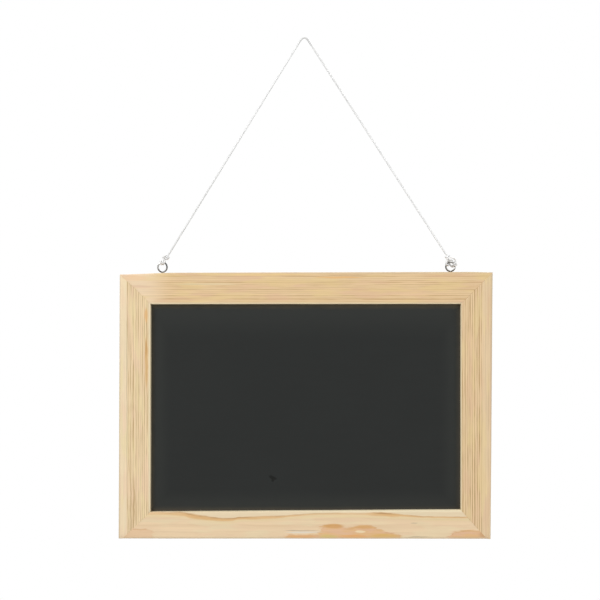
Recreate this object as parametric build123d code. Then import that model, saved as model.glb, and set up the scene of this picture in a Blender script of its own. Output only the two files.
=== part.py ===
from build123d import *
import math
import os

# Hanging menu chalkboard: a mitred pine frame round a thin black writing panel,
# hung by one cord that is tied to two screw eyes in the frame's top edge.
#
# Millimetres. The origin is the hang point: the underside of the cord's bend, where
# it bears on its hook. +X is to the right of someone reading the board, +Y is
# towards the board's back and +Z is up.

# ---- the board -------------------------------------------------------------------
BOARD_W = 420.0          # outside width of the frame
BOARD_H = 300.0          # outside height of the frame, after its bottom edge is planed
BOARD_X = 1.3            # the board's middle, to the right of the hang point
BOARD_DROP = 264.1       # from the hang point down to the frame's top edge

RAIL_W = 35.5            # width of the moulding that all four rails are cut from
RAIL_T = 15.0            # its thickness, front to back
BOTTOM_TRIM = 4.5        # planed off the bottom edge once the frame was joined
ARRIS_R = 1.0            # rounding of the moulding's long edges

PANEL_T = 3.0            # the panel fills the groove's width
GROOVE_DEPTH = 6.0
PANEL_GAP = 1.0          # left at the bottom of each groove, for the wood to move

# ---- V-nails, pressed into the back across each mitre -------------------------------
NAIL_LEG = 6.5           # each leg lies along one rail
NAIL_SHEET = 0.6
NAIL_DEPTH = 7.0
NAIL_INSETS = (9.0, 21.5)  # from the outside corner to each nail's point, both ways

# ---- screw eyes --------------------------------------------------------------------
EYE_LEFT_X = -160.3
EYE_RIGHT_X = 165.5
EYE_OD = 12.0
EYE_WIRE = 1.8
EYE_LIFT = 0.1           # the ring's lowest point above the frame's top edge
NECK_BEND = 1.5          # radius of the small bend from the shank into the ring
RING_END_ANGLE = 19.0    # the ring's cut end stops this far from its lowest point
PLAIN_SHANK = 3.0
THREAD_LEN = 9.0
THREAD_PITCH = 0.9
THREAD_ROOT = 1.3        # diameter between the ridges
TIP_LEN = 1.8
LEAD_IN = 0.3            # countersink at the mouth of each pilot hole

# ---- cord ----------------------------------------------------------------------------
CORD_D = 2.0
HOOK_D = 8.0             # the hook or nail that the cord goes over
# From the left knot up to the bend and down to the right knot. The middle point is
# where the two taut legs would meet if they were not rounded by the hook.
CORD_ROUTE = [(-156.3, 0.0, -248.9), (0.1, 0.0, 5.4), (163.0, 0.0, -247.8)]

LOOP_PLAY = 0.45         # between the loop and the ring's wire
LOOP_PITCH = 2.1         # between the loop's two turns, side by side on the wire
KNOT_FROM_WIRE = 6.6     # from the wire's centre to the first hitch, along the leg
HITCH_PITCH = 2.1        # between the two hitches
HITCH_R = 1.7            # centreline radius of a hitch round the standing cord
HITCH_TILT = 12.0        # each hitch lies a little askew
KNOT_CORE_D = 2.8        # the cord squeezed inside the hitches
LEFT_TAIL = [(0.0, 0.0), (-2.6, 0.6), (-4.6, -0.2)]   # along X and Z, from the knot
RIGHT_TAIL = [(0.0, 0.0), (3.6, 0.4), (6.6, -0.9), (8.6, -3.0)]

# ---- worked out from those ---------------------------------------------------------------
LEFT = BOARD_X - BOARD_W / 2
RIGHT = BOARD_X + BOARD_W / 2
TOP = -BOARD_DROP
BOTTOM = TOP - BOARD_H
IN_LEFT = LEFT + RAIL_W
IN_RIGHT = RIGHT - RAIL_W
IN_TOP = TOP - RAIL_W
IN_BOTTOM = BOTTOM + RAIL_W - BOTTOM_TRIM
BACK = RAIL_T / 2

WIRE_R = EYE_WIRE / 2
CORD_R = CORD_D / 2
RING_R = (EYE_OD - EYE_WIRE) / 2
RING_Z = TOP + EYE_LIFT + EYE_OD / 2
PIVOT_Z = RING_Z + RING_R
CORD_BEND_R = (HOOK_D + CORD_D) / 2
LOOP_R = WIRE_R + LOOP_PLAY + CORD_R
SPARE = 10.0             # how far blanks run past what they are cut back to

os.makedirs("parts", exist_ok=True)


# ---- frame -----------------------------------------------------------------------------
def moulding(length):
    """A length of grooved moulding along X, its outer edge up, its top at z = 0."""
    section = Plane.YZ * RectangleRounded(RAIL_T, RAIL_W, ARRIS_R)
    groove_mid = -RAIL_W / 2 + GROOVE_DEPTH / 2
    groove = Plane.YZ * Pos(0, groove_mid) * Rectangle(PANEL_T, GROOVE_DEPTH)
    bar = extrude(section - groove, length / 2, both=True)
    return Pos(0, 0, -RAIL_W / 2) * bar


def mitre(blank, corner_x, corner_z, cut_x, cut_z):
    """Cut at 45 degrees through an inside corner; (cut_x, cut_z) points at the waste."""
    normal = Vector(cut_x, 0, cut_z).normalized()
    plane = Plane(origin=(corner_x, 0, corner_z), z_dir=normal)
    return split(blank, bisect_by=plane, keep=Keep.BOTTOM)


def planed_bottom():
    """The space above the planed bottom edge, with that edge's rounding."""
    height = BOARD_H + SPARE
    section = Plane.YZ * RectangleRounded(RAIL_T, height, ARRIS_R)
    bar = extrude(section, BOARD_W / 2 + SPARE, both=True)
    return Pos(BOARD_X, 0, BOTTOM + height / 2) * bar


def top_rail():
    rail = Pos(BOARD_X, 0, TOP) * moulding(BOARD_W + SPARE)
    rail = mitre(rail, IN_LEFT, IN_TOP, -1, -1)
    return mitre(rail, IN_RIGHT, IN_TOP, 1, -1)


def bottom_rail():
    outer = BOTTOM - BOTTOM_TRIM
    rail = Pos(BOARD_X, 0, outer) * Rot(0, 180, 0) * moulding(BOARD_W + SPARE)
    rail = mitre(rail, IN_LEFT, IN_BOTTOM, -1, 1)
    rail = mitre(rail, IN_RIGHT, IN_BOTTOM, 1, 1)
    return rail & planed_bottom()


def left_stile():
    mid = (TOP + BOTTOM) / 2
    stile = Pos(LEFT, 0, mid) * Rot(0, -90, 0) * moulding(BOARD_H + SPARE)
    stile = mitre(stile, IN_LEFT, IN_TOP, 1, 1)
    stile = mitre(stile, IN_LEFT, IN_BOTTOM, 1, -1)
    return stile & planed_bottom()


def right_stile():
    mid = (TOP + BOTTOM) / 2
    stile = Pos(RIGHT, 0, mid) * Rot(0, 90, 0) * moulding(BOARD_H + SPARE)
    stile = mitre(stile, IN_RIGHT, IN_TOP, -1, 1)
    stile = mitre(stile, IN_RIGHT, IN_BOTTOM, -1, -1)
    return stile & planed_bottom()


def writing_panel():
    width = IN_RIGHT - IN_LEFT + 2 * (GROOVE_DEPTH - PANEL_GAP)
    height = IN_TOP - IN_BOTTOM + 2 * (GROOVE_DEPTH - PANEL_GAP)
    return Pos(BOARD_X, 0, (IN_TOP + IN_BOTTOM) / 2) * Box(width, PANEL_T, height)


# ---- corner nails ------------------------------------------------------------------------
def corner_nails(corner_x, corner_z, dir_x, dir_z):
    """Two V-nails with their points at the outside corner; dir_* point inwards."""
    nails = []
    for inset in NAIL_INSETS:
        x = corner_x + dir_x * inset
        z = corner_z + dir_z * inset
        mid_y = BACK - NAIL_DEPTH / 2
        along = Pos(x + dir_x * NAIL_LEG / 2, mid_y, z + dir_z * NAIL_SHEET / 2)
        across = Pos(x + dir_x * NAIL_SHEET / 2, mid_y, z + dir_z * NAIL_LEG / 2)
        leg_x = along * Box(NAIL_LEG, NAIL_DEPTH, NAIL_SHEET)
        leg_z = across * Box(NAIL_SHEET, NAIL_DEPTH, NAIL_LEG)
        nails.append(leg_x + leg_z)
    return nails


# ---- screw eyes --------------------------------------------------------------------------
def neck_bottom():
    """Height of the neck bend's lower end, from the ring's centre."""
    return -math.sqrt(RING_R ** 2 + 2 * NECK_BEND * RING_R)


def eye_path(side):
    """Shank, neck bend and ring as one line about the ring's centre.

    The neck bends to the right where side is 1, and to the left where it is -1.
    """
    low = neck_bottom()
    meet = math.degrees(math.atan2(NECK_BEND, -low))
    shank = Line((0, low - PLAIN_SHANK), (0, low))
    neck = JernArc(shank @ 1, shank % 1, NECK_BEND, -side * (90 - meet))
    turn = 360 - RING_END_ANGLE - meet
    ring = JernArc(neck @ 1, neck % 1, RING_R, side * turn)
    return Plane.XZ * (shank + neck + ring)


def thread(top_z):
    """The threaded end, drawn as ridges in a row, with a tapered point below them."""
    root = THREAD_ROOT / 2
    outline = [(0, top_z), (WIRE_R, top_z)]
    ridges = round(THREAD_LEN / THREAD_PITCH)
    for i in range(ridges):
        z = top_z - i * THREAD_PITCH
        outline.append((root, z - THREAD_PITCH / 2))
        outline.append((WIRE_R, z - THREAD_PITCH))
    end_z = top_z - ridges * THREAD_PITCH
    outline.append((root, end_z - THREAD_PITCH / 2))
    outline.append((0, end_z - TIP_LEN))
    face = make_face(Plane.XZ * Polyline(*outline, close=True))
    return revolve(face, Axis.Z)


def screw_eye(x, side):
    path = eye_path(side)
    start = path @ 0
    wire = sweep(Plane(origin=start, z_dir=(0, 0, 1)) * Circle(WIRE_R), path=path)
    return Pos(x, 0, RING_Z) * (wire + thread(start.Z))


def pilot_hole(x):
    """The hole that one screw eye fills, with a lead-in at its mouth."""
    depth = TOP - RING_Z - neck_bottom() + PLAIN_SHANK + THREAD_LEN + TIP_LEN
    bore = Pos(x, 0, TOP - depth / 2) * Cylinder(WIRE_R, depth)
    mouth = Pos(x, 0, TOP - LEAD_IN) * Cone(WIRE_R, WIRE_R + 2 * LEAD_IN, 2 * LEAD_IN)
    return bore + mouth


# ---- cord and knots -----------------------------------------------------------------------
def tube(path):
    """A cord-thick tube along a path."""
    return sweep(Plane(origin=path @ 0, z_dir=path % 0) * Circle(CORD_R), path=path)


def hanging_cord():
    path = FilletPolyline(*CORD_ROUTE, radius=CORD_BEND_R)
    cord = tube(path)
    expected = math.pi * CORD_R ** 2 * path.length
    print("cord length", round(path.length, 1), "bend radius", CORD_BEND_R)
    print("cord volume", round(cord.volume, 2), "section x length", round(expected, 2))
    return cord


def loop_turn(x, top, spread):
    """One turn round the ring's wire, from the knot down the front and up the back."""
    low = PIVOT_Z - LOOP_R
    knee = PIVOT_Z + CORD_R
    points = [
        (top.X, -spread, top.Z),
        (x, -LOOP_R, knee),
        (x, -LOOP_R, low),
        (x, LOOP_R, low),
        (x, LOOP_R, knee),
        (top.X, spread, top.Z),
    ]
    bend = 0.95 * LOOP_R     # a little short of a half circle between the two bends
    return tube(FilletPolyline(*points, radius=[CORD_D, bend, bend, CORD_D]))


def knot(eye_x, route_end, tail):
    """Loop through the ring, two hitches round the standing cord, and the cut tail."""
    pivot = Vector(eye_x, 0, PIVOT_Z)
    leg = (Vector(*route_end) - pivot).normalized()
    first = pivot + leg * KNOT_FROM_WIRE
    second = pivot + leg * (KNOT_FROM_WIRE + HITCH_PITCH)
    ring = Torus(HITCH_R, CORD_R)
    body = Plane(origin=first, z_dir=leg) * Rot(0, HITCH_TILT, 0) * ring
    body += Plane(origin=second, z_dir=leg) * Rot(0, -HITCH_TILT, 0) * ring
    core = Plane(origin=(first + second) * 0.5, z_dir=leg)
    body += core * Cylinder(KNOT_CORE_D / 2, HITCH_PITCH + CORD_D)
    for step in (-0.5, 0.5):
        top = first + Vector(step * CORD_R, 0, 0)
        body += loop_turn(eye_x + step * LOOP_PITCH, top, CORD_R)
    middle = (first + second) * 0.5
    points = [(middle.X + x, 0, middle.Z + z) for x, z in tail]
    body += tube(FilletPolyline(*points, radius=CORD_D))
    return body


# ---- the parts -------------------------------------------------------------------------------
nails = {
    "corner_nails_top_left": corner_nails(LEFT, TOP, 1, -1),
    "corner_nails_top_right": corner_nails(RIGHT, TOP, -1, -1),
    "corner_nails_bottom_left": corner_nails(LEFT, BOTTOM - BOTTOM_TRIM, 1, 1),
    "corner_nails_bottom_right": corner_nails(RIGHT, BOTTOM - BOTTOM_TRIM, -1, 1),
}
rails = {
    "top_rail": top_rail(),
    "bottom_rail": bottom_rail(),
    "left_stile": left_stile(),
    "right_stile": right_stile(),
}
for eye_x in (EYE_LEFT_X, EYE_RIGHT_X):
    rails["top_rail"] -= pilot_hole(eye_x)
for name in rails:
    for pair in nails.values():
        for nail in pair:
            rails[name] -= nail

parts = dict(rails)
parts["writing_panel"] = writing_panel()
for name, pair in nails.items():
    parts[name] = Compound(children=pair)
parts["left_screw_eye"] = screw_eye(EYE_LEFT_X, 1)
parts["right_screw_eye"] = screw_eye(EYE_RIGHT_X, -1)
parts["hanging_cord"] = hanging_cord()
parts["left_knot"] = knot(EYE_LEFT_X, CORD_ROUTE[0], LEFT_TAIL)
parts["right_knot"] = knot(EYE_RIGHT_X, CORD_ROUTE[-1], RIGHT_TAIL)

for name, shape in parts.items():
    export_step(shape, "parts/" + name + ".step")
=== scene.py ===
import math

import bmesh
import bpy
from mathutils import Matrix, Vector, noise


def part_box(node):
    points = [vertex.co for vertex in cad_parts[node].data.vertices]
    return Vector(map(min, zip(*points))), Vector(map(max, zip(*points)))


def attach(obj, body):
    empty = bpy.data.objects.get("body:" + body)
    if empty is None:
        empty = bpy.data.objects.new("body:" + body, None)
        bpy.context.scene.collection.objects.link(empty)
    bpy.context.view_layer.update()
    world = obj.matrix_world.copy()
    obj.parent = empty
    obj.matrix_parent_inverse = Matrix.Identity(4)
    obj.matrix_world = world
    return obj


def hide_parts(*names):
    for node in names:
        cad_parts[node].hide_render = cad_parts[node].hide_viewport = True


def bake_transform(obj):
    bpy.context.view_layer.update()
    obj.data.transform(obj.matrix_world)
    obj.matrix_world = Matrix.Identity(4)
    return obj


# A hanging menu chalkboard. Lengths are in metres unless a name or a comment says
# millimetres; MM turns one into the other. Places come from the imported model's boxes.
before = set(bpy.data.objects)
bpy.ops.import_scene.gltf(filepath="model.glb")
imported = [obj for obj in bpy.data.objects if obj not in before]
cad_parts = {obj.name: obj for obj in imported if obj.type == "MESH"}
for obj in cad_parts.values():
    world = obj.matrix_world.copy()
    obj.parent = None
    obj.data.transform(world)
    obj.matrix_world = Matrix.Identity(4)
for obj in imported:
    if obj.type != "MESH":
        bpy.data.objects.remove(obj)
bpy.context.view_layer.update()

MM = 0.001

top_low, top_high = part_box("top_rail")
LEFT, RIGHT = top_low.x, top_high.x
TOP, IN_TOP = top_high.z, top_low.z
FRONT, BACK = top_low.y, top_high.y
BOTTOM, IN_BOTTOM = (corner.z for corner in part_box("bottom_rail"))
IN_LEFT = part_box("left_stile")[1].x
IN_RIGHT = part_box("right_stile")[0].x
RAIL_W = TOP - IN_TOP
TRIM = RAIL_W - (IN_BOTTOM - BOTTOM)  # planed off the bottom edge
PANEL_LOW, PANEL_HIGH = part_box("writing_panel")
MIDDLE_X, MIDDLE_Z = (LEFT + RIGHT) / 2, (TOP + BOTTOM) / 2

eye_low, eye_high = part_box("left_screw_eye")
RING_TOP = eye_high.z - (eye_high.y - eye_low.y) / 2  # middle of the wire

# ---- camera ----
VIEW_WIDTH = 674.8 * MM  # how much the picture takes in at the frame's face
VIEW_DISTANCE = 1200 * MM  # from the camera to the frame's face
AIM_LEFT_OF_MIDDLE = 6.0 * MM
AIM_BELOW_TOP = 31.5 * MM
SENSOR = 36.0

# ---- frame ----
ARRIS = 1.0 * MM  # rounding of the long edges
GROOVE = 6.0 * MM  # how deep the rails are cut for the panel
MITRE_EASE = 0.18 * MM  # the sanded edge along each mitre
ALONG_STEPS = 60  # pieces that a rail is divided into, lengthwise
# How far each corner of the hand-made frame is from square, in mm: (right, up).
OUTER_SHIFTS = {"TL": (1.2, -0.9), "TR": (0.8, 0.2), "BL": (-0.1, 0.3), "BR": (-1.5, -0.4)}
INNER_SHIFTS = {"TL": (0.5, -0.8), "TR": (0.7, -0.5), "BL": (0.1, -1.2), "BR": (0.6, 1.1)}
# The two top corners are sanded off a little: (distance down at the corner, run along x).
WORN_LEFT = (1.9 * MM, 62 * MM)
WORN_RIGHT = (0.6 * MM, 26 * MM)
WORN_DEPTH = 20 * MM
HAND_WAVE = 0.10 * MM  # waviness of edges sanded by hand
WAVE_LENGTH = 45 * MM
WAVE_LINE_X, WAVE_LINE_Z = (3.1, 0.7), (1.3, 8.2)  # which lines through the noise they follow
ROUNDING = 1e-9  # what two equal lengths may differ by
ARRIS_STOPS = (0.0, 0.08, 0.3, 0.62, 1.0)  # points across a rounded edge, as shares of it
FACE_STOPS = (0.25, 0.5, 0.7)  # points across a rail's flat, as shares of its width

# ---- cord and knots ----
CORD_D = 2.0 * MM
# Control points of the cord's line, from the left knot over the hook to the right one.
CORD_ROUTE = [
    (-0.1563, 0.0, -0.2489),
    (-0.0088, 0.0, -0.0091),
    (0.0001, 0.0, 0.0046),
    (0.0093, 0.0, -0.0089),
    (0.1630, 0.0, -0.2478),
]
CORD_STATION = 0.3 * MM  # between one ring of the cord's mesh and the next
CORD_SIDES = 12
CORD_END_FLAT = 0.08  # the flat on a rounded end, as a share of radius
PLIES = 3
PLY_PITCH = 3.6 * MM
PLY_DEPTH = 0.035  # of the grooves between plies, as a share of radius
LINE_INSIDE = 0.9  # a smooth line round a bend passes inside its points
ROUTE_ORDER, ROUTE_RESOLUTION = 3, 900  # of the NURBS line
KNOT_ORDER, KNOT_RESOLUTION = 4, 40
CORD_SHARP = 80  # degrees; only the cut ends have sharp edges
TURN_STEP = 45  # degrees from one point of a turn to the next
# Heights above the ring's top between a knot's turns about the ring and its hitches up the cord.
# Each knot is baked in place as one piece.
KNOT_STILL = 5.2 * MM
KNOT_TURNING = 2.9 * MM

# ---- screw eyes ----
NECK_BEND = 1.5 * MM
RING_END_ANGLE = 5.0  # degrees, from the ring's lowest point to its cut end
LEFT_RING_DROP = 0.9 * MM  # the left ring is a little oval, so it ends lower
RING_STEPS = 96
BEND_STEPS = 8
WIRE_SIDES = 24
WIRE_END_ROUND, WIRE_END_FLAT = 0.35, 0.12  # of the ring's cut end, as shares of radius
END_STATIONS = (0.3, 0.12, 0.04)  # mm back from the ring's cut end, to round it
PLAIN_SHANK = 3.0 * MM
THREAD_LEN = 9.0 * MM  # at full depth, before the point
THREAD_PITCH = 0.9 * MM
THREAD_ROOT = 0.65 * MM  # radius between the ridges
THREAD_START = 0.8 * THREAD_PITCH  # from the plain shank down to that radius
RIDGE_HALF = 0.32  # half a ridge's width, as a share of the pitch
THREAD_STEPS, THREAD_SIDES = 90, 20
POINT_TIP = 0.05  # what is left of the radius at the tip


def lerp(a, b, t):
    return a + (b - a) * t


def smooth(t):
    """0 below 0, 1 above 1, and an easy curve between them."""
    t = min(max(t, 0.0), 1.0)
    return t * t * (3 - 2 * t)


# ---- mesh helpers ----
def piece(name, bm, material, body, replaced, sharp_deg=35):
    """A finished mesh object that stands for CAD nodes.
    """
    bmesh.ops.recalc_face_normals(bm, faces=bm.faces)
    mesh = bpy.data.meshes.new(name)
    bm.to_mesh(mesh)
    bm.free()
    mesh.shade_smooth()
    mesh.set_sharp_from_angle(angle=math.radians(sharp_deg))
    obj = bpy.data.objects.new(name, mesh)
    bpy.context.scene.collection.objects.link(obj)
    obj.data.materials.append(material)
    if isinstance(body, str):
        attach(obj, body)
    else:
        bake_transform(obj)
    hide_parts(*replaced)
    return obj


def spline_points(route, order, resolution):
    """The points of a smooth open NURBS line whose control points are the route."""
    curve = bpy.data.curves.new("route", "CURVE")
    curve.dimensions = "3D"
    curve.resolution_u = resolution
    spline = curve.splines.new("NURBS")
    spline.points.add(len(route) - 1)
    for point, place in zip(spline.points, route):
        point.co = (*place, 1.0)
    spline.order_u = order
    spline.use_endpoint_u = True
    spline.resolution_u = resolution
    holder = bpy.data.objects.new("route", curve)
    bpy.context.scene.collection.objects.link(holder)
    mesh = bpy.data.meshes.new_from_object(holder)
    points = [vertex.co.copy() for vertex in mesh.vertices]
    bpy.data.objects.remove(holder)
    bpy.data.curves.remove(curve)
    bpy.data.meshes.remove(mesh)
    return points


def evenly(points, step):
    """Places about a step apart along a finely divided line, with both its ends."""
    total = sum((b - a).length for a, b in zip(points, points[1:]))
    count = max(2, round(total / step))
    placed = [points[0]]
    run = 0.0
    for a, b in zip(points, points[1:]):
        length = (b - a).length
        while len(placed) < count and run + length >= total * len(placed) / count:
            placed.append(a.lerp(b, (total * len(placed) / count - run) / length))
        run += length
    placed.append(points[-1])
    return placed


def carried_frames(points):
    """Two directions across the line at each of its points, turning as little as they can."""
    normal = (points[1] - points[0]).orthogonal().normalized()
    frames = []
    for i in range(len(points)):
        tangent = points[min(i + 1, len(points) - 1)] - points[max(i - 1, 0)]
        tangent.normalize()
        normal = (normal - tangent * normal.dot(tangent)).normalized()
        frames.append((normal, tangent.cross(normal)))
    return frames


def bridge(bm, rings, capped=True):
    """Quads between rings of vertices in a row, and a face on the first and the last."""
    for a, b in zip(rings, rings[1:]):
        for k in range(len(a)):
            n = (k + 1) % len(a)
            bm.faces.new((a[k], a[n], b[n], b[k]))
    if capped:
        bm.faces.new(tuple(reversed(rings[0])))
        bm.faces.new(tuple(rings[-1]))


def tube(points, sides, radius_at, pitch=math.inf):
    """A closed tube along a line. radius_at(run, left, angle) gives its radius there.

    The angle is about the line, and where there is a pitch it turns once in that length.
    """
    bm = bmesh.new()
    runs = [0.0]
    for a, b in zip(points, points[1:]):
        runs.append(runs[-1] + (b - a).length)
    rings = []
    for point, run, (across, up) in zip(points, runs, carried_frames(points)):
        ring = []
        for k in range(sides):
            angle = 2 * math.pi * k / sides
            turned = angle + 2 * math.pi * run / pitch
            offset = across * math.cos(turned) + up * math.sin(turned)
            radius = radius_at(run, runs[-1] - run, angle)
            ring.append(bm.verts.new(point + offset * radius))
        rings.append(ring)
    bridge(bm, rings)
    return bm


# ---- shader helpers ----
def srgb(red, green, blue):
    """A colour given in the usual 0 to 255 scale, as the linear values that shaders take."""
    linear = []
    for value in (red, green, blue):
        value /= 255
        linear.append(value / 12.92 if value < 0.04045 else ((value + 0.055) / 1.055) ** 2.4)
    return (*linear, 1.0)


# The colour sockets of a Mix node, which share their names with its other kinds.
MIX_FACTOR, MIX_A, MIX_B, MIX_RESULT = 0, 6, 7, 2
BUMP_STRENGTH = 0.5


class Shader:
    """A material's node tree, with a short call for each kind of node."""

    def __init__(self, name, roughness, specular=0.5, metallic=0.0):
        self.material = bpy.data.materials.new(name)
        self.material.use_nodes = True
        self.tree = self.material.node_tree
        self.surface = self.tree.nodes["Principled BSDF"]
        self.surface.inputs["Roughness"].default_value = roughness
        self.surface.inputs["Specular IOR Level"].default_value = specular
        self.surface.inputs["Metallic"].default_value = metallic

    def node(self, kind, inputs=(), **settings):
        """A new node. Each input is a socket to link from, or a value to set."""
        made = self.tree.nodes.new(kind)
        for key, value in settings.items():
            setattr(made, key, value)
        for key, value in dict(inputs).items():
            self.feed(made, key, value)
        return made

    def feed(self, node, key, value):
        """A socket is linked to an input, and anything else is its value."""
        if isinstance(value, bpy.types.NodeSocket):
            self.tree.links.new(value, node.inputs[key])
        else:
            node.inputs[key].default_value = value

    def math(self, operation, a, b=0.0, clamp=False):
        made = self.node("ShaderNodeMath", {0: a, 1: b}, operation=operation, use_clamp=clamp)
        return made.outputs[0]

    def add(self, a, b):
        return self.math("ADD", a, b)

    def times(self, a, b):
        return self.math("MULTIPLY", a, b)

    def step(self, value, low, high):
        """0 where value is at low, 1 where it is at high, and smooth between them."""
        inputs = {"Value": value, "From Min": low, "From Max": high}
        made = self.node("ShaderNodeMapRange", inputs, interpolation_type="SMOOTHSTEP")
        return made.outputs["Result"]

    def spread(self, value, low, high):
        """A 0 to 1 value spread over low to high."""
        made = self.node("ShaderNodeMapRange", {"Value": value, "To Min": low, "To Max": high})
        return made.outputs["Result"]

    def vector(self, x, y, z):
        return self.node("ShaderNodeCombineXYZ", {0: x, 1: y, 2: z}).outputs[0]

    def stretched(self, vector, x, y, z):
        """A vector with each part divided by a size, so that noise has that size."""
        inputs = {0: vector, 1: (1 / x, 1 / y, 1 / z)}
        return self.node("ShaderNodeVectorMath", inputs, operation="MULTIPLY").outputs[0]

    def noise(self, vector, detail):
        """Noise with features of about one unit of the vector."""
        inputs = {"Vector": vector, "Scale": 1.0, "Detail": detail, "Roughness": 0.55}
        return self.node("ShaderNodeTexNoise", inputs).outputs["Fac"]

    def mix(self, factor, a, b, blend="MIX"):
        """Colour a where the factor is 0 and colour b where it is 1."""
        made = self.node("ShaderNodeMix", data_type="RGBA", blend_type=blend)
        self.feed(made, MIX_FACTOR, factor)
        self.feed(made, MIX_A, a)
        self.feed(made, MIX_B, b)
        return made.outputs[MIX_RESULT]

    def shade(self, colour, factor):
        """A colour made darker or lighter by a factor."""
        grey = self.vector(factor, factor, factor)
        return self.mix(1.0, colour, grey, blend="MULTIPLY")

    def curve(self, value, low, high, points, top):
        """A graph drawn through points (value, height), with value from low to high."""
        at = self.math("DIVIDE", self.add(value, -low), high - low, clamp=True)
        made = self.node("ShaderNodeFloatCurve", {"Value": at})
        line = made.mapping.curves[0]
        for x, y in points[1:-1]:
            line.points.new((x - low) / (high - low), y / top)
        for end, (x, y) in ((0, points[0]), (-1, points[-1])):
            line.points[end].location = ((x - low) / (high - low), y / top)
        for point in line.points:
            point.handle_type = "AUTO_CLAMPED"
        made.mapping.update()
        return self.times(made.outputs[0], top)

    def place(self):
        """X, Y and Z of the object's coordinates, in millimetres."""
        metres = self.node("ShaderNodeTexCoord").outputs["Object"]
        parts = self.node("ShaderNodeSeparateXYZ", {0: metres})
        return [self.times(part, 1 / MM) for part in parts.outputs]

    def bump(self, height, distance):
        inputs = {"Height": height, "Distance": distance, "Strength": BUMP_STRENGTH}
        made = self.node("ShaderNodeBump", inputs)
        self.tree.links.new(made.outputs[0], self.surface.inputs["Normal"])

    def colour(self, socket):
        self.tree.links.new(socket, self.surface.inputs["Base Color"])

    def roughness(self, socket):
        self.tree.links.new(socket, self.surface.inputs["Roughness"])


# ---- the camera ----
def add_camera():
    data = bpy.data.cameras.new("camera")
    data.sensor_width = SENSOR
    data.lens = SENSOR * VIEW_DISTANCE / VIEW_WIDTH
    data.clip_start = 50 * MM
    data.clip_end = 20.0
    camera = bpy.data.objects.new("camera", data)
    bpy.context.scene.collection.objects.link(camera)
    camera.location = (MIDDLE_X - AIM_LEFT_OF_MIDDLE, FRONT - VIEW_DISTANCE,
                       TOP - AIM_BELOW_TOP)
    camera.rotation_euler = (math.radians(90), 0, 0)
    bpy.context.scene.camera = camera


add_camera()


# ---- the cord ----
def nylon():
    """White three-ply nylon: silky, a little translucent, with painted shade on the legs, under
    the hook and in the right ring.
    """
    shader = Shader("cord_nylon", roughness=0.5, specular=0.35)
    x, y, z = shader.place()
    spot = shader.vector(x, y, z)
    fine = shader.noise(shader.stretched(spot, 0.22, 0.22, 0.5), detail=4)
    soft = shader.noise(shader.stretched(spot, 9, 9, 14), detail=2)
    tone = shader.add(shader.spread(fine, 0.98, 1.01), shader.spread(soft, -0.03, 0.02))
    right = shader.step(x, -5, 5)
    # Painted shade: the right leg darker, most on its upper part.
    right_leg_shade = shader.times(right, shader.spread(shader.step(z, -60, -110), 0.1, 0.02))
    # Painted shade: the left leg darker towards its bottom.
    low = shader.times(shader.step(z, -40, -240), shader.spread(right, 0.15, 0.0))
    above_ring = shader.add(z, -RING_TOP / MM)
    on_leg = shader.step(above_ring, 6.4, 9.4)
    tone = shader.add(tone, shader.times(shader.times(shader.add(right_leg_shade, low), on_leg), -1))
    # Painted shadow of the hook: the cord greyer round its top.
    hook_shadow = shader.times(shader.step(z, -14, -3), shader.step(shader.math("ABSOLUTE", x), 12, 5))
    tone = shader.add(tone, shader.times(hook_shadow, -0.19))
    # Painted shade: the right knot's strands in and behind the ring greyer.
    right_ring_shade = shader.times(shader.step(above_ring, 0.1, -1.3), right)
    tone = shader.add(tone, shader.times(right_ring_shade, -0.26))
    shader.colour(shader.shade(srgb(251, 251, 250), tone))
    shader.bump(fine, 0.01 * MM)
    shader.surface.inputs["Sheen Weight"].default_value = 0.15
    shader.surface.inputs["Sheen Roughness"].default_value = 0.4
    shader.surface.inputs["Subsurface Weight"].default_value = 0.6
    shader.surface.inputs["Subsurface Radius"].default_value = [0.8 * CORD_D] * 3
    shader.surface.inputs["Subsurface Scale"].default_value = 1.0
    return shader.material


def laid_up(angle):
    """Radius of a cord laid up from its plies, this far round it."""
    return CORD_D / 2 * (1 - PLY_DEPTH * (1 - abs(math.cos(PLIES / 2 * angle))))


def rounded_end(distance, radius, flat):
    """How full a tube is this far from its rounded end, from the flat's share to 1."""
    near = min(distance / radius, 1.0)
    return max(flat, math.sqrt(1 - (1 - near) ** 2))


def cord_tube(points):
    """Three-ply cord with ends rounded over, as a hot knife leaves nylon."""
    stations = evenly(points, CORD_STATION)

    def radius_at(run, left, angle):
        return laid_up(angle) * rounded_end(min(run, left), CORD_D / 2, CORD_END_FLAT)

    return tube(stations, CORD_SIDES, radius_at, PLY_PITCH), stations


cord_material = nylon()


def hanging_cord():
    mesh, stations = cord_tube(spline_points(CORD_ROUTE, ROUTE_ORDER, ROUTE_RESOLUTION))
    made = piece("hanging_cord_laid", mesh, cord_material, "cord",
                 ["hanging_cord"], CORD_SHARP)
    return made, stations


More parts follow.
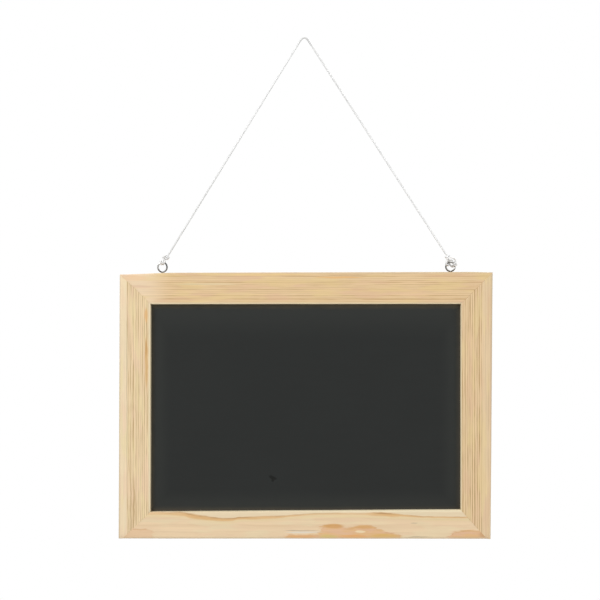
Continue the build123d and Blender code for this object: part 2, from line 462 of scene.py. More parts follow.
class Knot:
    """A loop through a ring, hitches up round the standing cord, and a cut tail."""

    def __init__(self, eye, route_end, route_next):
        low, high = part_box(eye)
        self.wire = high.y - low.y
        self.ring = (high.x - low.x - self.wire) / 2
        self.pivot = Vector(((low.x + high.x) / 2, 0, high.z - self.wire / 2))
        self.leg = (Vector(route_next) - Vector(route_end)).normalized()
        self.side = Vector((self.leg.z, 0, -self.leg.x))
        self.front = Vector((0, -1, 0))
        self.start = Vector(route_end)
        self.points = [self.start]

    def round_wire(self, place_from, place_to, angle_from, angle_to, play):
        """Turns about the ring's wire, which move along it from one place to another.

        A place is in degrees round the ring, 0 at its top and 90 at its right. Angle 0 is
        outwards from the ring, 90 in front, 180 in its hole and 270 behind.
        """
        steps = round(abs(angle_to - angle_from) / TURN_STEP)
        for i in range(steps + 1):
            place = math.radians(lerp(place_from, place_to, i / steps))
            angle = math.radians(lerp(angle_from, angle_to, i / steps))
            outward = Vector((math.sin(place), 0, math.cos(place)))
            wire = self.pivot + (outward - Vector((0, 0, 1))) * self.ring
            radius = ((self.wire + CORD_D) / 2 + play) / LINE_INSIDE
            across = outward * math.cos(angle) + self.front * math.sin(angle)
            self.points.append(wire + across * radius)

    def round_leg(self, run_from, run_to, angle_from, angle_to, radius):
        """Hitches about the standing cord, from where its line ends and on up it."""
        steps = round(abs(angle_to - angle_from) / TURN_STEP)
        for i in range(steps + 1):
            run = lerp(run_from, run_to, i / steps)
            angle = math.radians(lerp(angle_from, angle_to, i / steps))
            out = self.side * math.cos(angle) + self.front * math.sin(angle)
            self.points.append(self.start + self.leg * run + out * radius / LINE_INSIDE)

    def strand(self, *places):
        """Points in mm from the ring's top: right, towards the back, and up."""
        for place in places:
            self.points.append(self.pivot + Vector(place) * MM)

    def make(self, name, node):
        mesh, _ = cord_tube(spline_points(self.points, KNOT_ORDER, KNOT_RESOLUTION))
        up = Vector((0, 0, 1))
        bends = ("cord", "board", self.pivot + up * KNOT_STILL, self.pivot + up * KNOT_TURNING)
        return piece(name, mesh, cord_material, bends, [node], CORD_SHARP)


def left_knot():
    knot = Knot("left_screw_eye", CORD_ROUTE[0], CORD_ROUTE[1])
    knot.strand((3.0, -1.8, 2.4))
    knot.round_wire(27, -32, 60, 990, 0.2 * MM)
    knot.strand((-0.4, 2.9, 2.0), (2.0, 2.6, 3.4))
    knot.round_leg(-0.7 * MM, 3.0 * MM, 270, -450, 1.95 * MM)
    knot.strand((3.4, -3.0, 7.6), (2.2, -3.2, 6.6), (1.0, -2.6, 5.6), (0.0, -1.8, 4.6))
    return knot.make("left_knot_tied", "left_knot")


def right_knot():
    knot = Knot("right_screw_eye", CORD_ROUTE[-1], CORD_ROUTE[-2])
    knot.strand((-4.0, -1.2, 3.4))
    knot.round_wire(-62, -60, 60, 290, 0.2 * MM)
    knot.strand((-2.6, 4.3, 1.4), (-0.4, 4.7, 2.6), (1.8, 3.6, 2.8))
    knot.round_wire(50, 84, -30, 660, 0.3 * MM)
    knot.strand((5.4, -0.6, 2.6), (4.2, -2.4, 4.0), (1.6, -3.0, 5.4))
    knot.round_leg(-0.3 * MM, 2.6 * MM, 45, 585, 1.95 * MM)
    knot.strand((-2.2, 2.7, 4.0), (-1.2, 2.5, 2.0), (-1.2, 2.4, 0.2), (-1.3, 2.2, -1.6),
                (0.2, 1.5, -3.6), (2.8, 1.0, -5.8))
    return knot.make("right_knot_tied", "right_knot")


cord, cord_line = hanging_cord()
knots = [left_knot(), right_knot()]


# ---- screw eyes ----
def plated_steel():
    """Zinc plate, cloudy and gritty: dull, with a painted highlight on the rings' outward sides.
    """
    shader = Shader("eye_steel", roughness=0.3, metallic=1.0)
    x, y, z = shader.place()
    spot = shader.vector(x, y, z)
    cloud = shader.noise(shader.stretched(spot, 1.6, 1.6, 1.6), detail=4)
    grit = shader.noise(shader.stretched(spot, 0.12, 0.12, 0.12), detail=2)
    tone = shader.add(shader.spread(cloud, 0.86, 1.06), shader.spread(grit, -0.05, 0.05))
    # Painted highlight: the rings' outward sides lighter than the rest of the wire.
    outwards = shader.math("ABSOLUTE", shader.add(x, -MIDDLE_X / MM))
    above_ring = shader.add(z, -RING_TOP / MM)
    bright = shader.times(shader.step(outwards, 160, 166), shader.step(above_ring, -9.1, -6.1))
    tone = shader.times(tone, shader.spread(bright, 0.6, 1.7))
    shader.colour(shader.shade(srgb(160, 160, 158), tone))
    shader.roughness(shader.spread(cloud, 0.2, 0.4))
    shader.bump(grit, 0.012 * MM)
    return shader.material


steel = plated_steel()


def wire_line(centre, ring, side, drop):
    """Shank, neck bend and ring about the ring's centre, from the thread upwards.

    The ring's top stays where it is, and its lowest point is lower by the drop.
    """
    low = -math.sqrt(ring ** 2 + 2 * NECK_BEND * ring)
    meet = math.atan2(NECK_BEND, -low)
    places = [(0.0, low - PLAIN_SHANK), (0.0, low - PLAIN_SHANK / 2), (0.0, low)]
    for i in range(1, BEND_STEPS):
        turn = (math.pi / 2 - meet) * i / BEND_STEPS
        x = side * NECK_BEND * (1 - math.cos(turn))
        places.append((x, low + NECK_BEND * math.sin(turn)))
    sweep = 2 * math.pi - math.radians(RING_END_ANGLE) - meet
    for i in range(RING_STEPS + 1):
        angle = meet + sweep * i / RING_STEPS
        places.append((side * ring * math.sin(angle), -ring * math.cos(angle)))
    line = []
    for x, z in places:
        share = min(1.0, (ring - z) / (2 * ring))
        line.append(centre + Vector((x, 0, z - drop * share)))
    return line


def screw_thread(bm, centre, top, tip, wire):
    """A cut helical thread that runs out at a gimlet point."""
    rings = []
    for i in range(THREAD_STEPS + 1):
        z = lerp(top, tip, i / THREAD_STEPS)
        run = top - z
        point = smooth((run - THREAD_LEN) / (top - tip - THREAD_LEN))
        ring = []
        for k in range(THREAD_SIDES):
            angle = 2 * math.pi * k / THREAD_SIDES
            phase = (run / THREAD_PITCH + k / THREAD_SIDES) % 1.0
            ridge = max(0.0, 1 - abs(phase - 0.5) / RIDGE_HALF) * smooth(run / THREAD_PITCH)
            fade = lerp(1.0, POINT_TIP, point)
            plain = lerp(wire, THREAD_ROOT, smooth(run / THREAD_START))
            radius = (plain + (wire - THREAD_ROOT) * ridge) * fade
            ring.append(bm.verts.new((centre.x + radius * math.cos(angle),
                                      radius * math.sin(angle), z)))
        rings.append(ring)
    bridge(bm, rings)


def screw_eye(name, node, side, drop):
    low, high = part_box(node)
    wire = (high.y - low.y) / 2
    ring = (high.x - low.x) / 2 - wire
    centre = Vector(((low.x + high.x) / 2, 0, high.z - wire - ring))
    line = wire_line(centre, ring, side, drop)

    def radius_at(run, left, angle):
        return wire * rounded_end(left, WIRE_END_ROUND * wire, WIRE_END_FLAT)

    end = line[-1]
    ahead = (line[-1] - line[-2]).normalized()
    line[-1:] = [end - ahead * back * MM for back in END_STATIONS] + [end]
    bm = tube(line, WIRE_SIDES, radius_at)
    screw_thread(bm, centre, line[0].z, low.z - drop, wire)
    return piece(name, bm, steel, "board", [node], sharp_deg=40)


screw_eye("left_screw_eye_turned", "left_screw_eye", 1, LEFT_RING_DROP)
screw_eye("right_screw_eye_turned", "right_screw_eye", -1, 0.0)


# ---- wood ----
class Pine(Shader):
    """Planed pine, in millimetres along the rail, across it from its outer edge, and deep."""

    def __init__(self, name, along, across, shift):
        super().__init__(name, roughness=0.62, specular=0.35)
        place = self.place()
        self.along = place["XYZ".index(along)]
        axis, outer = across
        self.across = self.math("ABSOLUTE", self.add(place["XYZ".index(axis)], -outer / MM))
        self.deep = self.add(place[1], -FRONT / MM)
        # The noise is read elsewhere for each rail, so that no two are alike.
        self.shift = shift
        self.spot = self.vector(self.add(self.along, shift), self.across, self.deep)

    def cloud(self, long, wide, seed, detail=2):
        """Noise of this length along the rail and this width across it, in mm."""
        moved = self.node("ShaderNodeVectorMath", {0: self.spot, 1: (97 * seed, 13 * seed, 0)},
                          operation="ADD").outputs[0]
        return self.noise(self.stretched(moved, long, wide, wide), detail=detail)

    def grain(self, early, late, spacing, tilt, bend, ripples, strength):
        """Annual rings: early wood that darkens to a late-wood line, no two rings the same."""
        slope = self.times(self.deep, math.tan(math.radians(tilt)))
        sway = self.times(self.cloud(170, 30, seed=1), 2 * bend)
        ripple = self.times(self.cloud(26, 6, seed=2), ripples)
        ring = self.add(self.add(self.across, slope), self.add(sway, ripple))
        uneven = self.noise(self.vector(self.times(ring, 0.19), self.shift, 0.0), detail=1)
        phase = self.math("DIVIDE", self.add(ring, self.times(uneven, 3.4)), spacing)
        number = self.math("FLOOR", phase)
        own = self.node("ShaderNodeTexWhiteNoise", {"W": number},
                        noise_dimensions="1D").outputs["Value"]
        part = self.math("FRACT", phase)
        line = self.times(self.step(part, 0.15, 0.8), self.step(part, 1.0, 0.84))
        line = self.times(line, self.spread(own, 0.45, 1.15))
        broken = self.step(self.cloud(42, 1.6, seed=3, detail=3), 0.36, 0.6)
        line = self.times(line, self.spread(broken, 0.35, 1.1))
        self.line = self.times(line, strength)
        self.hue = self.mix(self.line, early, late)

    def fibres(self, amount):
        """Fine fibres, short pores and slow changes of tone."""
        hair = self.cloud(14, 0.35, seed=4, detail=3)
        thread = self.cloud(75, 0.9, seed=5)
        drift = self.cloud(80, 12, seed=6)
        pores = self.step(self.cloud(3.4, 0.22, seed=7, detail=1), 0.72, 0.8)
        tone = self.add(self.spread(hair, 1 - amount, 1 + amount),
                        self.spread(thread, -1.6 * amount, 1.6 * amount))
        tone = self.add(tone, self.spread(drift, -0.05, 0.05))
        tone = self.add(tone, self.times(pores, -0.10))
        self.hue = self.shade(self.hue, tone)
        height = self.add(self.times(self.line, 0.5), self.times(hair, 0.7))
        height = self.add(height, self.times(pores, -0.8))
        self.bump(height, 0.05 * MM)
        self.roughness(self.spread(hair, 0.55, 0.7))

    def tint(self, mask, colour):
        self.hue = self.mix(mask, self.hue, colour)

    def blush(self, colour, amount, seed):
        """Soft patches of another hue."""
        mask = self.step(self.cloud(48, 9, seed), 0.48, 0.66)
        self.tint(self.times(mask, amount), colour)

    def band(self, value, low, high, soft):
        """1 between low and high, and 0 a little outside them."""
        rise = self.step(value, low - soft, low + soft)
        fall = self.step(value, high + soft, high - soft)
        return self.times(rise, fall)

    def mark(self, along, across, half_long, half_wide, colour, amount):
        """A long soft mark in the grain, on the front face."""
        wander = self.times(self.add(self.cloud(20, 8, seed=8), -0.5), 2.2)
        u = self.math("DIVIDE", self.add(self.along, -along), half_long)
        v = self.math("DIVIDE", self.add(self.add(self.across, wander), -across), half_wide)
        reach = self.math("SQRT", self.add(self.times(u, u), self.times(v, v)))
        reach = self.add(reach, self.times(self.add(self.cloud(24, 0.9, seed=9), -0.5), 0.9))
        mask = self.times(self.step(reach, 1.15, 0.55), self.step(self.deep, 6, 3))
        self.tint(self.times(mask, amount), colour)

    def edges(self, width, lip):
        """The outer edge a little darker and greyer, and a painted highlight along the inner
        edge.
        """
        # Darker and greyer along the front's outer edge.
        outer_greyed = self.times(self.step(self.across, 3.0, 0.4), self.step(self.deep, 2.0, 0.5))
        self.tint(self.times(outer_greyed, 0.6), srgb(204, 184, 152))
        # Painted highlight: a pale strip along the inner edge and the groove's lip.
        pale = self.step(self.across, width - lip - 0.5, width - lip + 0.5)
        self.tint(self.times(pale, 0.6), srgb(238, 226, 192))

    def finish(self):
        self.colour(self.hue)
        return self.material


def top_rail_wood():
    wood = Pine("pine_top_rail", "X", ("Z", TOP), shift=40)
    plain = wood.step(wood.along, LEFT / MM + 24, LEFT / MM + 62)
    wood.grain(srgb(233, 203, 159), srgb(200, 164, 117), 2.1, 12, 0.5, 0.45,
               wood.spread(plain, 0.25, 0.95))
    wood.tint(wood.spread(plain, 0.75, 0.0), srgb(239, 215, 184))
    wood.blush(srgb(225, 186, 152), 0.5, seed=11)
    wood.blush(srgb(231, 204, 146), 0.5, seed=12)
    wood.mark(-190, 7, 15, 3.4, srgb(238, 200, 158), 0.6)
    wood.mark(-50, 3, 62, 1.3, srgb(236, 204, 144), 0.7)
    wood.mark(40, 6, 28, 1.2, srgb(235, 186, 124), 0.8)
    wood.mark(-110, 13.5, 40, 1.3, srgb(223, 207, 168), 0.5)
    wood.fibres(0.07)
    wood.edges(RAIL_W / MM, 1.2)
    return wood.finish()


# Where the bottom rail's resin lies, in mm: along X, then below the rail's inner edge or
# above its bottom edge.
STREAK_DEPTH = [
    (-208, 2.6), (-172, 2.8), (-139, 3.2), (-129, 5.0), (-115, 7.2), (-100, 8.8), (-86, 9.6),
    (-72, 8.0), (-58, 7.7), (-27, 6.3), (-9, 4.9), (27, 3.1), (75, 3.4), (97, 4.2), (125, 5.8),
    (143, 6.8), (211, 6.9),
]
STREAK_HALF = [
    (-208, 1.2), (-172, 1.5), (-139, 2.2), (-115, 2.9), (-86, 1.7), (-50, 2.0), (-9, 1.3),
    (60, 1.2), (92, 2.5), (108, 1.8), (125, 1.1), (211, 0.9),
]
STREAK_STRENGTH = [
    (-208, 0.4), (-172, 0.55), (-139, 0.8), (-115, 1.0), (-86, 0.95), (-27, 0.75), (27, 0.5),
    (60, 0.45), (92, 1.0), (125, 0.8), (211, 0.7),
]
PATCH_NONE = -1.5  # below the edge
PATCH_TOP = [
    (-208, -1.5), (-203, 1.0), (-193, 12.0), (-175, 10.5), (-170, 7.0), (-168, -1.5),
    (-24, -1.5), (-17, 4.6), (14, 4.8), (19, 13.2), (34, 16.8), (49, 12.5), (68, 15.3),
    (78, 14.4), (82, 11.8), (96, 7.4), (109, 3.9), (113, -1.5), (160, -1.5), (163, 4.6),
    (171, 8.1), (186, 10.0), (200, 10.0), (211, 1.0),
]


def resin_streak(wood, depth):
    """An amber streak with a dark upper side, yellow below it and pale wood above it."""
    start, end = STREAK_DEPTH[0][0], STREAK_DEPTH[-1][0]
    wander = wood.times(wood.add(wood.cloud(16, 6, seed=21), -0.5), 1.8)
    centre = wood.add(wood.curve(wood.along, start, end, STREAK_DEPTH, 12), wander)
    half = wood.curve(wood.along, start, end, STREAK_HALF, 3)
    half = wood.times(half, wood.spread(wood.cloud(17, 400, seed=27), 0.55, 1.5))
    strength = wood.curve(wood.along, start, end, STREAK_STRENGTH, 1)
    below = wood.add(depth, wood.times(centre, -1))
    face = wood.step(wood.deep, 9, 4)
    above = wood.times(wood.step(below, -0.4, -2.0), face)
    wood.tint(wood.times(above, 0.6), srgb(233, 217, 184))
    glow = wood.times(wood.band(below, 0.5, 3.8, 1.6), face)
    wood.tint(wood.times(glow, 0.5), srgb(233, 212, 162))
    share = wood.math("DIVIDE", below, half)
    amber = wood.times(wood.band(share, -0.75, 0.75, 0.45), face)
    wood.tint(wood.times(amber, wood.times(strength, 0.9)), srgb(222, 178, 122))
    core = wood.times(wood.band(share, -0.75, -0.25, 0.35), face)
    broken = wood.step(wood.cloud(22, 2, seed=22), 0.4, 0.58)
    wood.tint(wood.times(core, wood.times(strength, wood.spread(broken, 0.15, 0.9))),
              srgb(180, 136, 88))


def resin_patches(wood):
    """Where the plane has cut through a resinous layer along the bottom edge."""
    wander = wood.times(wood.add(wood.cloud(10, 3, seed=23, detail=4), -0.5), 5.0)
    fingers = wood.times(wood.add(wood.cloud(16, 1.2, seed=25, detail=3), -0.5), 18.0)
    top = wood.curve(wood.add(wood.along, fingers), PATCH_TOP[0][0], PATCH_TOP[-1][0],
                     [(x, height - PATCH_NONE) for x, height in PATCH_TOP], 20)
    under = wood.add(wood.add(top, PATCH_NONE), wood.add(wander, wood.times(wood.across, -1)))
    face = wood.step(wood.deep, 7, 3)
    patch = wood.times(wood.step(under, -1.0, 1.4), face)
    pink = wood.step(wood.cloud(26, 4, seed=24), 0.42, 0.6)
    flesh = wood.mix(pink, srgb(226, 180, 126), srgb(227, 182, 144))
    middle = wood.step(wood.along, -120, -60)
    flesh = wood.mix(middle, srgb(231, 196, 158), flesh)
    wood.tint(wood.times(patch, 0.85), flesh)
    rim = wood.times(wood.band(under, 0.4, 1.8, 0.8), face)
    broken = wood.step(wood.cloud(18, 3, seed=26), 0.42, 0.58)
    wood.tint(wood.times(rim, wood.spread(broken, 0.1, 0.5)), srgb(206, 158, 106))


def bottom_rail_wood():
    wood = Pine("pine_bottom_rail", "X", ("Z", BOTTOM), shift=300)
    width = (IN_BOTTOM - BOTTOM) / MM
    wood.grain(srgb(236, 209, 172), srgb(221, 190, 150), 8.0, 60, 5.0, 1.1, 0.5)
    wood.blush(srgb(233, 203, 168), 0.6, seed=11)
    wood.blush(srgb(233, 214, 176), 0.6, seed=12)
    depth = wood.add(wood.times(wood.across, -1), width)
    resin_streak(wood, depth)
    resin_patches(wood)
    wood.mark(34, 14.2, 13, 2.4, srgb(213, 160, 96), 0.75)
    wood.mark(67, 12.8, 13, 2.2, srgb(216, 166, 106), 0.7)
    wood.mark(27, 2.4, 12, 2.6, srgb(216, 190, 118), 0.8)
    wood.mark(56, 2.2, 19, 2.6, srgb(229, 168, 104), 0.7)
    wood.mark(90, 3.0, 20, 2.4, srgb(219, 178, 104), 0.75)
    wood.mark(-4, 2.0, 20, 2.2, srgb(230, 172, 108), 0.7)
    wood.mark(204, 5.0, 9, 4.0, srgb(200, 156, 112), 0.6)
    wood.mark(63, 8, 6, 1.9, srgb(242, 222, 184), 0.85)
    # Painted highlight: a grey-white line along the grain.
    wood.mark(0, 7.2, 22, 1.3, srgb(228, 226, 214), 0.6)
    wood.mark(-2, 9.2, 20, 0.6, srgb(176, 164, 146), 0.7)
    wood.mark(128, 1.8, 15, 0.7, srgb(184, 166, 140), 0.7)
    wood.mark(124, 17.5, 5, 0.9, srgb(206, 180, 148), 0.6)
    wood.fibres(0.045)
    wood.edges(width, 0.8)
    return wood.finish()


def left_stile_wood():
    wood = Pine("pine_left_stile", "Z", ("X", LEFT), shift=130)
    inner = wood.step(wood.across, 8.4, 10.0)
    wood.grain(srgb(240, 216, 176), srgb(186, 152, 106), 2.2, -10, 0.8, 1.0,
               wood.spread(inner, 0.0, 1.0))
    wood.tint(wood.spread(inner, 0.6, 0.0), srgb(239, 220, 187))
    wood.blush(srgb(238, 206, 174), 0.5, seed=11)
    wood.blush(srgb(235, 217, 166), 0.5, seed=12)
    wood.mark(-400, 9.4, 130, 0.7, srgb(205, 186, 152), 0.7)
    wood.mark(-313, 31.0, 9, 1.9, srgb(228, 180, 120), 0.8)
    wood.mark(-364, 31.2, 32, 2.2, srgb(214, 172, 114), 0.8)
    wood.mark(-350, 30.6, 12, 1.3, srgb(200, 154, 98), 0.7)
    wood.mark(-528, 14.0, 34, 0.7, srgb(184, 150, 108), 0.8)
    wood.mark(-524, 17.5, 30, 0.6, srgb(188, 156, 114), 0.8)
    wood.fibres(0.08)
    wood.edges(RAIL_W / MM, 1.8)
    return wood.finish()


def right_stile_wood():
    wood = Pine("pine_right_stile", "Z", ("X", RIGHT), shift=510)
    inner = wood.step(wood.across, 8.0, 14.0)
    wood.grain(srgb(234, 206, 164), srgb(180, 142, 94), 2.6, 20, 1.0, 0.8,
               wood.spread(inner, 0.4, 1.1))
    wood.tint(wood.spread(inner, 0.4, 0.0), srgb(227, 203, 170))
    wood.blush(srgb(226, 190, 154), 0.5, seed=11)
    wood.blush(srgb(232, 208, 154), 0.5, seed=12)
    wood.mark(-400, 1.4, 120, 1.3, srgb(224, 190, 156), 0.6)
    wood.fibres(0.08)
    wood.edges(RAIL_W / MM, 1.5)
    return wood.finish()


# ---- the four rails ----
def hand_made(x, z, along, across, corners):
    """Where a point of the square drawing really is on the hand-made frame.

    corners has the shifts at the rail's outer start and end, and then at its inner ones.
    """
    shift_x, shift_z = [lerp(lerp(a, b, along), lerp(c, d, along), across)
                        for a, b, c, d in zip(*corners)]
    wave_x = HAND_WAVE * noise.noise(Vector((z / WAVE_LENGTH, *WAVE_LINE_X)))
    wave_z = HAND_WAVE * noise.noise(Vector((x / WAVE_LENGTH, *WAVE_LINE_Z)))
    height = smooth(1 - (TOP - z) / WORN_DEPTH)
    worn = WORN_LEFT[0] * smooth(1 - (x - LEFT) / WORN_LEFT[1])
    worn += WORN_RIGHT[0] * smooth(1 - (RIGHT - x) / WORN_RIGHT[1])
    return x + shift_x * MM + wave_x, z + shift_z * MM + wave_z - worn * height


def arris_drop(distance):
    """How far a rounded edge falls away this close to its corner."""
    if distance >= ARRIS:
        return 0.0
    return ARRIS - math.sqrt(ARRIS ** 2 - (ARRIS - distance) ** 2)


def section_stops(width):
    """Distances across the moulding at which its section has a point."""
    edge = [share * ARRIS for share in ARRIS_STOPS]
    face = [TRIM] + [share * width for share in FACE_STOPS] + [width - GROOVE]
    lip = [width - GROOVE / 2]
    return edge + face + lip + [width - stop for stop in reversed(edge)]


def rail(name, node, material, width, limits, place, corners):
    """One length of grooved moulding, mitred at both ends.

    limits(across) gives where it starts and ends at that distance from its outer edge,
    and place(run, across) gives its x and z on the drawing.
    """
    bm = bmesh.new()
    stops = section_stops(width)
    lips = [i for i, stop in enumerate(stops) if stop >= width - GROOVE - ROUNDING]
    half = (BACK - FRONT) / 2
    panel_half = (PANEL_HIGH.y - PANEL_LOW.y) / 2
    middle = (FRONT + BACK) / 2

    def vertex(share, ease, stop, deep):
        """share is along the rail; ease pulls the last ring in along the mitre."""
        across = min(max(stop, ease), width - ease)
        start, end = limits(stop)
        run = lerp(start, end, share)
        x, z = place(run, across)
        x, z = hand_made(x, z, share, (across + RAIL_W - width) / RAIL_W, corners)
        inset = min(abs(deep), half - ease)
        return bm.verts.new((x, middle + math.copysign(inset, deep), z))

    length = abs(limits(width / 2)[1] - limits(width / 2)[0])
    shares = [(0.0, MITRE_EASE), (MITRE_EASE / length, 0.0)]
    shares += [(i / ALONG_STEPS, 0.0) for i in range(1, ALONG_STEPS)]
    shares += [(1 - MITRE_EASE / length, 0.0), (1.0, MITRE_EASE)]
    rows = []
    for share, ease in shares:
        face = []
        for sign in (-1, 1):
            surface = [half - max(arris_drop(stop), arris_drop(width - stop)) for stop in stops]
            outer = [vertex(share, ease, stop, sign * deep) for stop, deep in zip(stops, surface)]
            wall = {i: vertex(share, ease, stops[i], sign * panel_half) for i in lips}
            face.append((outer, wall))
        rows.append(face)

    def loop(row):
        (front, front_wall), (back, back_wall) = row
        inward = [front_wall[i] for i in reversed(lips)]
        outward = [back_wall[i] for i in lips]
        return front + inward + outward + list(reversed(back))

    bridge(bm, [loop(row) for row in rows], capped=False)
    for row in (rows[0], rows[-1]):
        (front, front_wall), (back, back_wall) = row
        for i in range(len(stops) - 1):
            if i in lips:
                bm.faces.new((front[i], front[i + 1], front_wall[i + 1], front_wall[i]))
                bm.faces.new((back[i], back[i + 1], back_wall[i + 1], back_wall[i]))
            else:
                bm.faces.new((front[i], front[i + 1], back[i + 1], back[i]))
    return piece(name, bm, material, "board", [node], sharp_deg=50)


def make_frame():
    out, inner = OUTER_SHIFTS, INNER_SHIFTS
    rail("top_rail_moulded", "top_rail", top_rail_wood(), RAIL_W,
         lambda across: (LEFT + across, RIGHT - across),
         lambda run, across: (run, TOP - across),
         (out["TL"], out["TR"], inner["TL"], inner["TR"]))
    rail("bottom_rail_moulded", "bottom_rail", bottom_rail_wood(), RAIL_W - TRIM,
         lambda across: (LEFT + TRIM + across, RIGHT - TRIM - across),
         lambda run, across: (run, BOTTOM + across),
         (out["BL"], out["BR"], inner["BL"], inner["BR"]))

    def stile_limits(across):
        return TOP - across, max(BOTTOM, BOTTOM - TRIM + across)

    rail("left_stile_moulded", "left_stile", left_stile_wood(), RAIL_W, stile_limits,
         lambda run, across: (LEFT + across, run),
         (out["TL"], out["BL"], inner["TL"], inner["BL"]))
    rail("right_stile_moulded", "right_stile", right_stile_wood(), RAIL_W, stile_limits,
         lambda run, across: (RIGHT - across, run),
         (out["TR"], out["BR"], inner["TR"], inner["BR"]))


make_frame()


# ---- the writing panel ----
# A dent in the coat, in mm: its middle, and how far it reaches at each angle, in degrees
# from the right and upwards.
DENT = (-35.0, -497.4)
DENT_REACH = [(-10, 6.0), (45, 3.6), (90, 3.6), (146, 8.4), (200, 3.0), (258, 6.2), (310, 3.4)]
DENT_DEPTH = 0.35 * MM
DENT_FIELD = 10 * MM  # how far the fine grid reaches round its middle
DENT_GRID = 0.4 * MM
PANEL_COLUMNS, PANEL_ROWS = 60, 40


def chalkboard_coat():
    """Matt black writing paint, rolled on: a fine stipple, with painted bounce light and a
    painted reflection of the wood near the frame.
    """
    shader = Shader("chalkboard_coat", roughness=0.6, specular=0.2)
    x, y, z = shader.place()
    spot = shader.vector(x, y, z)
    stipple = shader.noise(shader.stretched(spot, 0.55, 0.55, 0.55), detail=3)
    cloud = shader.noise(shader.stretched(spot, 90, 40, 60), detail=3)
    wiped = shader.noise(shader.stretched(spot, 60, 40, 7), detail=4)
    tone = shader.add(shader.spread(stipple, 0.93, 1.07), shader.spread(cloud, -0.06, 0.06))
    tone = shader.add(tone, shader.spread(wiped, -0.04, 0.04))
    hue = shader.shade(srgb(40, 42, 41), tone)
    wander = shader.times(shader.noise(shader.stretched(spot, 14, 14, 14), detail=3), 3.0)

    def near(value, edge, reach):
        """1 at the frame's edge, fading out at about this distance from it."""
        gap = shader.math("ABSOLUTE", shader.add(value, -edge / MM))
        return shader.step(shader.add(gap, wander), reach, 0.6)

    # Painted bounce light: the coat lighter near the frame, widest under the top rail.
    edge_bounce_light = near(z, IN_TOP, 46)
    for value, edge in ((x, IN_LEFT), (x, IN_RIGHT), (z, IN_BOTTOM)):
        edge_bounce_light = shader.math("MAXIMUM", edge_bounce_light, near(value, edge, 26))
    hue = shader.mix(edge_bounce_light, hue, srgb(49, 51, 49))
    # Painted reflection of the wood: a brownish band close to the frame, widest under the top
    # rail.
    wood_reflection = near(z, IN_TOP, 9)
    for value, edge, share in ((x, IN_LEFT, 0.5), (x, IN_RIGHT, 0.3), (z, IN_BOTTOM, 0.3)):
        wood_reflection = shader.math("MAXIMUM", wood_reflection, shader.times(near(value, edge, 7), share))
    hue = shader.mix(wood_reflection, hue, srgb(94, 86, 70))
    deep = shader.add(y, -PANEL_LOW.y / MM)
    dented = shader.times(shader.step(deep, 0.02, 0.2), shader.step(deep, 1.0, 0.8))
    hue = shader.mix(shader.times(dented, 0.8), hue, srgb(20, 21, 18))
    shader.colour(hue)
    shader.roughness(shader.spread(cloud, 0.56, 0.66))
    shader.bump(stipple, 0.06 * MM)
    return shader.material


def dent_at(x, z):
    """How deep the dent is at a place on the front of the panel."""
    right, up = x / MM - DENT[0], z / MM - DENT[1]
    first, first_reach = DENT_REACH[0]
    angle = (math.degrees(math.atan2(up, right)) - first) % 360 + first
    arms = DENT_REACH + [(first + 360, first_reach)]
    for (low, near), (high, far) in zip(arms, arms[1:]):
        if low <= angle <= high:
            reach = lerp(near, far, smooth((angle - low) / (high - low)))
    return DENT_DEPTH * smooth(1 - math.hypot(right, up) / reach)


def grid_lines(low, high, count, fine_at):
    """Evenly spaced lines, and finer ones round a place, which is in mm."""
    lines = [lerp(low, high, i / count) for i in range(count + 1)]
    steps = round(DENT_FIELD / DENT_GRID)
    near = [fine_at * MM + i * DENT_GRID for i in range(-steps, steps + 1)]
    far = [line for line in lines if not near[0] - DENT_GRID < line < near[-1] + DENT_GRID]
    return sorted(far + near)


def writing_panel():
    bm = bmesh.new()
    columns = grid_lines(PANEL_LOW.x, PANEL_HIGH.x, PANEL_COLUMNS, DENT[0])
    rows = grid_lines(PANEL_LOW.z, PANEL_HIGH.z, PANEL_ROWS, DENT[1])
    sides = []
    for y, dent in ((PANEL_LOW.y, dent_at), (PANEL_HIGH.y, lambda x, z: 0.0)):
        grid = [[bm.verts.new((x, y + dent(x, z), z)) for x in columns] for z in rows]
        for low, high in zip(grid, grid[1:]):
            for i in range(len(columns) - 1):
                bm.faces.new((low[i], low[i + 1], high[i + 1], high[i]))
        rim = grid[0] + [line[-1] for line in grid[1:]] + list(reversed(grid[-1][:-1]))
        rim += [line[0] for line in reversed(grid[1:-1])]
        sides.append(rim)
    bridge(bm, sides, capped=False)
    return piece("writing_panel_coated", bm, chalkboard_coat(), "board",
                 ["writing_panel"])


writing_panel()


# ---- corner nails ----
NAIL_LEG = 6.5 * MM
NAIL_SHEET = 0.6 * MM
NAIL_FOLD = 0.35 * NAIL_SHEET  # how far from its point the fold is rounded
NAIL_PROUD = 0.12 * MM  # left standing above the wood by the press
NAIL_BEVEL = 0.12 * MM
NAIL_EDGE = 4 * NAIL_BEVEL  # how long the sharpened edge is, in the wood


def nail_steel():
    """Blued strip steel, scuffed bright in places."""
    shader = Shader("nail_steel", roughness=0.38, metallic=1.0)
    x, y, z = shader.place()
    spot = shader.vector(x, y, z)
    cloud = shader.noise(shader.stretched(spot, 1.2, 1.2, 1.2), detail=4)
    drawn = shader.noise(shader.stretched(spot, 0.15, 4.0, 0.15), detail=2)
    tone = shader.add(shader.spread(cloud, 0.75, 1.1), shader.spread(drawn, -0.08, 0.08))
    shader.colour(shader.shade(srgb(172, 173, 178), tone))
    shader.roughness(shader.spread(cloud, 0.28, 0.5))
    shader.bump(drawn, 0.02 * MM)
    return shader.material


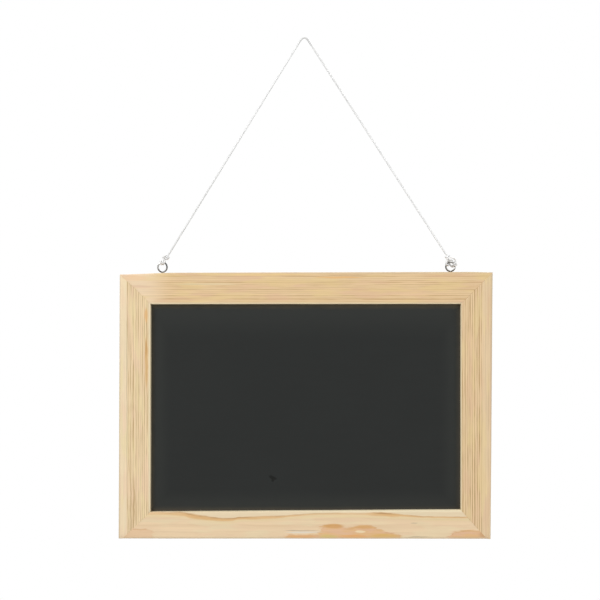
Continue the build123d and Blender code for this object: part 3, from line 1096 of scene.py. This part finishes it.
def v_nail(bm, point, dir_x, dir_z, low, high):
    """A strip folded to an L about its point, sharpened in the wood and bevelled behind."""
    def outline(inset):
        leg, sheet = NAIL_LEG - inset, NAIL_SHEET - inset
        outer, inner = inset + 0.3 * NAIL_FOLD, sheet + 0.3 * NAIL_FOLD
        return [(inset, inset + NAIL_FOLD), (outer, outer), (inset + NAIL_FOLD, inset),
                (leg, inset), (leg, sheet), (sheet + NAIL_FOLD, sheet), (inner, inner),
                (sheet, sheet + NAIL_FOLD), (sheet, leg), (inset, leg)]

    rings = []
    for y, inset in ((low, NAIL_BEVEL), (low + NAIL_EDGE, 0.0), (high - NAIL_BEVEL, 0.0),
                     (high, NAIL_BEVEL)):
        rings.append([bm.verts.new((point.x + dir_x * a, y, point.z + dir_z * b))
                      for a, b in outline(inset)])
    bridge(bm, rings)


def corner_nails(node, material):
    low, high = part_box(node)
    dir_x = 1 if low.x < MIDDLE_X else -1
    dir_z = 1 if low.z < MIDDLE_Z else -1
    outer = Vector((low.x if dir_x > 0 else high.x, 0, low.z if dir_z > 0 else high.z))
    inner = Vector((high.x if dir_x > 0 else low.x, 0, high.z if dir_z > 0 else low.z))
    bm = bmesh.new()
    for point in (outer, inner - Vector((dir_x, 0, dir_z)) * NAIL_LEG):
        v_nail(bm, point, dir_x, dir_z, low.y, high.y + NAIL_PROUD)
    piece(node + "_pressed", bm, material, "board", [node], sharp_deg=30)


def all_corner_nails():
    material = nail_steel()
    for node in sorted(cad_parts):
        if node.startswith("corner_nails"):
            corner_nails(node, material)


all_corner_nails()


# ---- light, floor and background ----
WORLD_LIGHT = 0.28  # what the white surroundings add to the softboxes
FLOOR_BELOW = 650 * MM  # the board's bottom
FLOOR_RADIUS = 1300 * MM


def softbox(name, place, size, watts, target):
    data = bpy.data.lights.new(name, "AREA")
    data.shape = "RECTANGLE"
    data.size, data.size_y = size
    data.energy = watts
    light = bpy.data.objects.new(name, data)
    bpy.context.scene.collection.objects.link(light)
    light.location = place
    light.rotation_euler = (Vector(target) - Vector(place)).to_track_quat("-Z", "Y").to_euler()


def studio():
    middle = (MIDDLE_X, 0, MIDDLE_Z)
    softbox("key", (-1.5, -1.7, 1.0), (1.3, 1.3), 42, middle)
    softbox("fill", (1.8, -1.5, 0.3), (1.3, 1.3), 20, middle)
    softbox("top", (0.1, -0.3, 1.9), (1.6, 1.0), 14, middle)
    softbox("back", (0.3, 2.2, 1.0), (1.8, 1.2), 40, middle)
    world = bpy.data.worlds.new("studio")
    bpy.context.scene.world = world
    world.use_nodes = True
    tree = world.node_tree
    background = tree.nodes["Background"]
    background.inputs["Color"].default_value = (1, 1, 1, 1)
    seen = tree.nodes.new("ShaderNodeLightPath")
    level = tree.nodes.new("ShaderNodeMapRange")
    level.inputs["To Min"].default_value = WORLD_LIGHT
    level.inputs["To Max"].default_value = 1.0
    tree.links.new(seen.outputs["Is Camera Ray"], level.inputs["Value"])
    tree.links.new(level.outputs["Result"], background.inputs["Strength"])
    bpy.context.scene.view_settings.view_transform = "Standard"


def floor():
    bm = bmesh.new()
    bmesh.ops.create_circle(bm, cap_ends=True, segments=96, radius=FLOOR_RADIUS)
    mesh = bpy.data.meshes.new("floor")
    bm.to_mesh(mesh)
    bm.free()
    obj = bpy.data.objects.new("floor", mesh)
    bpy.context.scene.collection.objects.link(obj)
    obj.location = (0, 0, BOTTOM - FLOOR_BELOW)
    shader = Shader("floor", roughness=0.8)
    shader.surface.inputs["Base Color"].default_value = srgb(236, 236, 234)
    obj.data.materials.append(shader.material)


studio()
floor()
